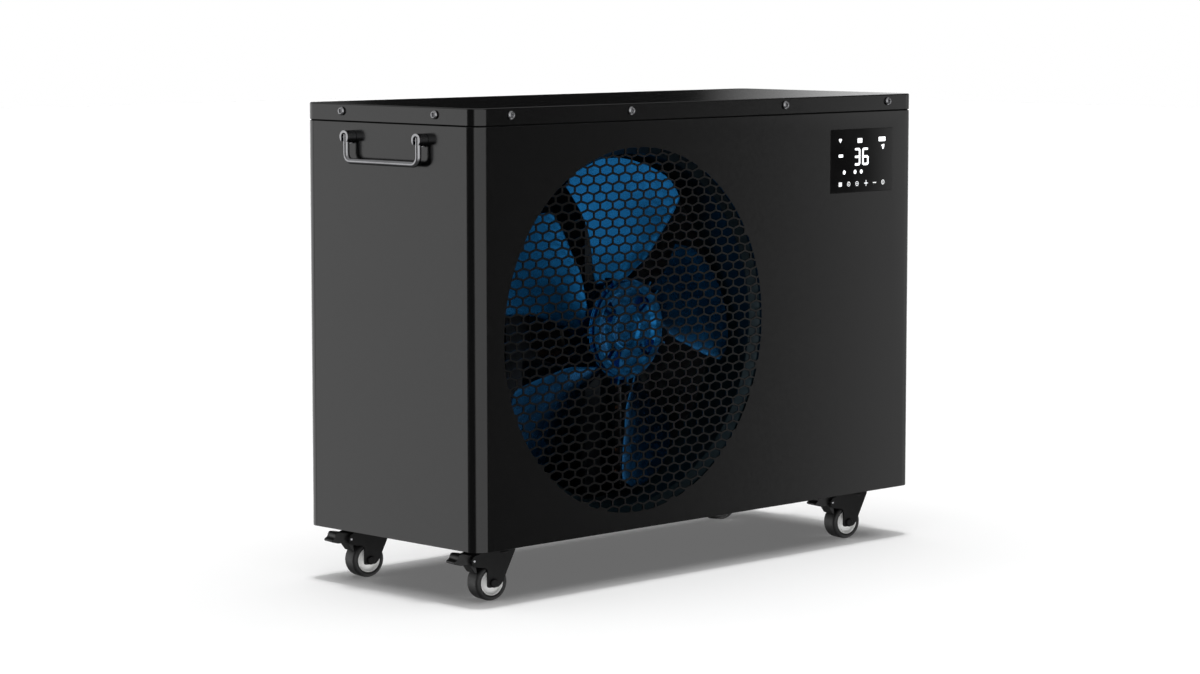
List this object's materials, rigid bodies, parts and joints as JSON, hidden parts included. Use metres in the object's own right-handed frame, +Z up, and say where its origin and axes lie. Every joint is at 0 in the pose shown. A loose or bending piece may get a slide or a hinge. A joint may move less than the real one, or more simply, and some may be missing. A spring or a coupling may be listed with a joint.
{
  "type": "pool heat pump",
  "caption": "Portable swimming pool heat pump in a black sheet metal cabinet with a round perforated air outlet, blue axial fan, display, side carrying bails and braked swivel casters.",
  "frame": {"origin": "on the floor, under the middle of the whole outline with screws and water unions", "axes": "+Z up, -Y towards the air outlet and display, +X to the display end"},
  "size_m": [0.7174, 0.3202, 0.519],
  "materials": {
    "casing_paint": "semi-gloss black powder coat",
    "display_glass": "gloss black touch panel",
    "black_fastener": "black zinc",
    "handle_bar": "semi-gloss black bar",
    "fan_blue": "satin moulded blue",
    "black_plastic": "fine moulded black",
    "black_enamel": "baked black enamel",
    "galvanised": "galvanised sheet",
    "coil_fins": "hydrophilic coated fins",
    "grey_plastic": "grey moulded PVC",
    "wheel_plastic": "light grey moulded nylon",
    "tyre_rubber": "grey-black thermoplastic rubber",
    "caster_black": "black e-coat"
  },
  "bodies": {
    "cabinet": {"base_tray": "casing_paint", "front_panel": "casing_paint", "left_panel": "casing_paint", "right_panel": "casing_paint", "back_panel": "casing_paint", "lid": "casing_paint", "display_panel": "display_glass", "lid_screw_front_1": "black_fastener", "lid_screw_front_2": "black_fastener", "lid_screw_front_3": "black_fastener", "lid_screw_front_4": "black_fastener", "lid_screw_left_1": "black_fastener", "lid_screw_left_2": "black_fastener", "lid_screw_right_1": "black_fastener", "lid_screw_right_2": "black_fastener", "left_handle_boss_front": "black_fastener", "left_handle_boss_rear": "black_fastener", "right_handle_boss_front": "black_fastener", "right_handle_boss_rear": "black_fastener", "fan_shroud": "black_plastic", "fan_motor": "black_enamel", "motor_bracket": "galvanised", "evaporator_coil": "coil_fins", "partition_wall": "galvanised", "compressor": "black_enamel", "accumulator": "black_enamel", "heat_exchanger": "grey_plastic", "control_box": "galvanised", "cable_gland": "black_plastic", "drain_spout": "black_plastic", "water_outlet_union": "black_plastic", "water_inlet_union": "black_plastic", "front_left_caster_plate": "caster_black", "front_right_caster_plate": "caster_black", "rear_left_caster_plate": "caster_black", "rear_right_caster_plate": "caster_black"},
    "fan": {"fan_rotor": "fan_blue"},
    "left_bail": {"left_handle_bail": "handle_bar"},
    "right_bail": {"right_handle_bail": "handle_bar"},
    "front_left_fork": {"front_left_fork": "caster_black", "front_left_axle": "caster_black"},
    "front_left_wheel": {"front_left_tyre": "tyre_rubber", "front_left_wheel_hub": "wheel_plastic"},
    "front_left_pedal": {"front_left_brake_pedal": "black_plastic"},
    "front_right_fork": {"front_right_fork": "caster_black", "front_right_axle": "caster_black"},
    "front_right_wheel": {"front_right_tyre": "tyre_rubber", "front_right_wheel_hub": "wheel_plastic"},
    "front_right_pedal": {"front_right_brake_pedal": "black_plastic"},
    "rear_left_fork": {"rear_left_fork": "caster_black", "rear_left_axle": "caster_black"},
    "rear_left_wheel": {"rear_left_tyre": "tyre_rubber", "rear_left_wheel_hub": "wheel_plastic"},
    "rear_left_pedal": {"rear_left_brake_pedal": "black_plastic"},
    "rear_right_fork": {"rear_right_fork": "caster_black", "rear_right_axle": "caster_black"},
    "rear_right_wheel": {"rear_right_tyre": "tyre_rubber", "rear_right_wheel_hub": "wheel_plastic"},
    "rear_right_pedal": {"rear_right_brake_pedal": "black_plastic"}
  },
  "joints": [
    {"name": "fan_spin", "type": "hinge", "parent": "cabinet", "child": "fan", "pos_m": [-0.1115, -0.14295, 0.2747], "axis": [0, 1, 0], "continuous": true},
    {"name": "left_bail_lift", "type": "hinge", "parent": "cabinet", "child": "left_bail", "pos_m": [-0.3549, -0.01995, 0.4846], "axis": [0, 1, 0], "range_deg": [0, 90]},
    {"name": "right_bail_lift", "type": "hinge", "parent": "cabinet", "child": "right_bail", "pos_m": [0.3549, -0.01995, 0.4846], "axis": [0, -1, 0], "range_deg": [0, 90]},
    {"name": "front_left_swivel", "type": "hinge", "parent": "cabinet", "child": "front_left_fork", "pos_m": [-0.2833, -0.11875, 0.054], "axis": [0, 0, 1], "continuous": true},
    {"name": "front_left_roll", "type": "hinge", "parent": "front_left_fork", "child": "front_left_wheel", "pos_m": [-0.29668, -0.11632, 0.0194], "axis": [0.1788, 0.9839, 0], "continuous": true},
    {"name": "front_left_brake", "type": "hinge", "parent": "front_left_fork", "child": "front_left_pedal", "pos_m": [-0.3202, -0.11205, 0.0448], "axis": [-0.1788, -0.9839, 0], "range_deg": [0, 18]},
    {"name": "front_right_swivel", "type": "hinge", "parent": "cabinet", "child": "front_right_fork", "pos_m": [0.2833, -0.11875, 0.054], "axis": [0, 0, 1], "continuous": true},
    {"name": "front_right_roll", "type": "hinge", "parent": "front_right_fork", "child": "front_right_wheel", "pos_m": [0.26992, -0.11632, 0.0194], "axis": [0.1788, 0.9839, 0], "continuous": true},
    {"name": "front_right_brake", "type": "hinge", "parent": "front_right_fork", "child": "front_right_pedal", "pos_m": [0.2464, -0.11205, 0.0448], "axis": [-0.1788, -0.9839, 0], "range_deg": [0, 18]},
    {"name": "rear_left_swivel", "type": "hinge", "parent": "cabinet", "child": "rear_left_fork", "pos_m": [-0.2833, 0.07885, 0.054], "axis": [0, 0, 1], "continuous": true},
    {"name": "rear_left_roll", "type": "hinge", "parent": "rear_left_fork", "child": "rear_left_wheel", "pos_m": [-0.29668, 0.08128, 0.0194], "axis": [0.1788, 0.9839, 0], "continuous": true},
    {"name": "rear_left_brake", "type": "hinge", "parent": "rear_left_fork", "child": "rear_left_pedal", "pos_m": [-0.3202, 0.08556, 0.0448], "axis": [-0.1788, -0.9839, 0], "range_deg": [0, 18]},
    {"name": "rear_right_swivel", "type": "hinge", "parent": "cabinet", "child": "rear_right_fork", "pos_m": [0.2833, 0.07885, 0.054], "axis": [0, 0, 1], "continuous": true},
    {"name": "rear_right_roll", "type": "hinge", "parent": "rear_right_fork", "child": "rear_right_wheel", "pos_m": [0.26992, 0.08128, 0.0194], "axis": [0.1788, 0.9839, 0], "continuous": true},
    {"name": "rear_right_brake", "type": "hinge", "parent": "rear_right_fork", "child": "rear_right_pedal", "pos_m": [0.2464, 0.08556, 0.0448], "axis": [-0.1788, -0.9839, 0], "range_deg": [0, 18]}
  ]
}
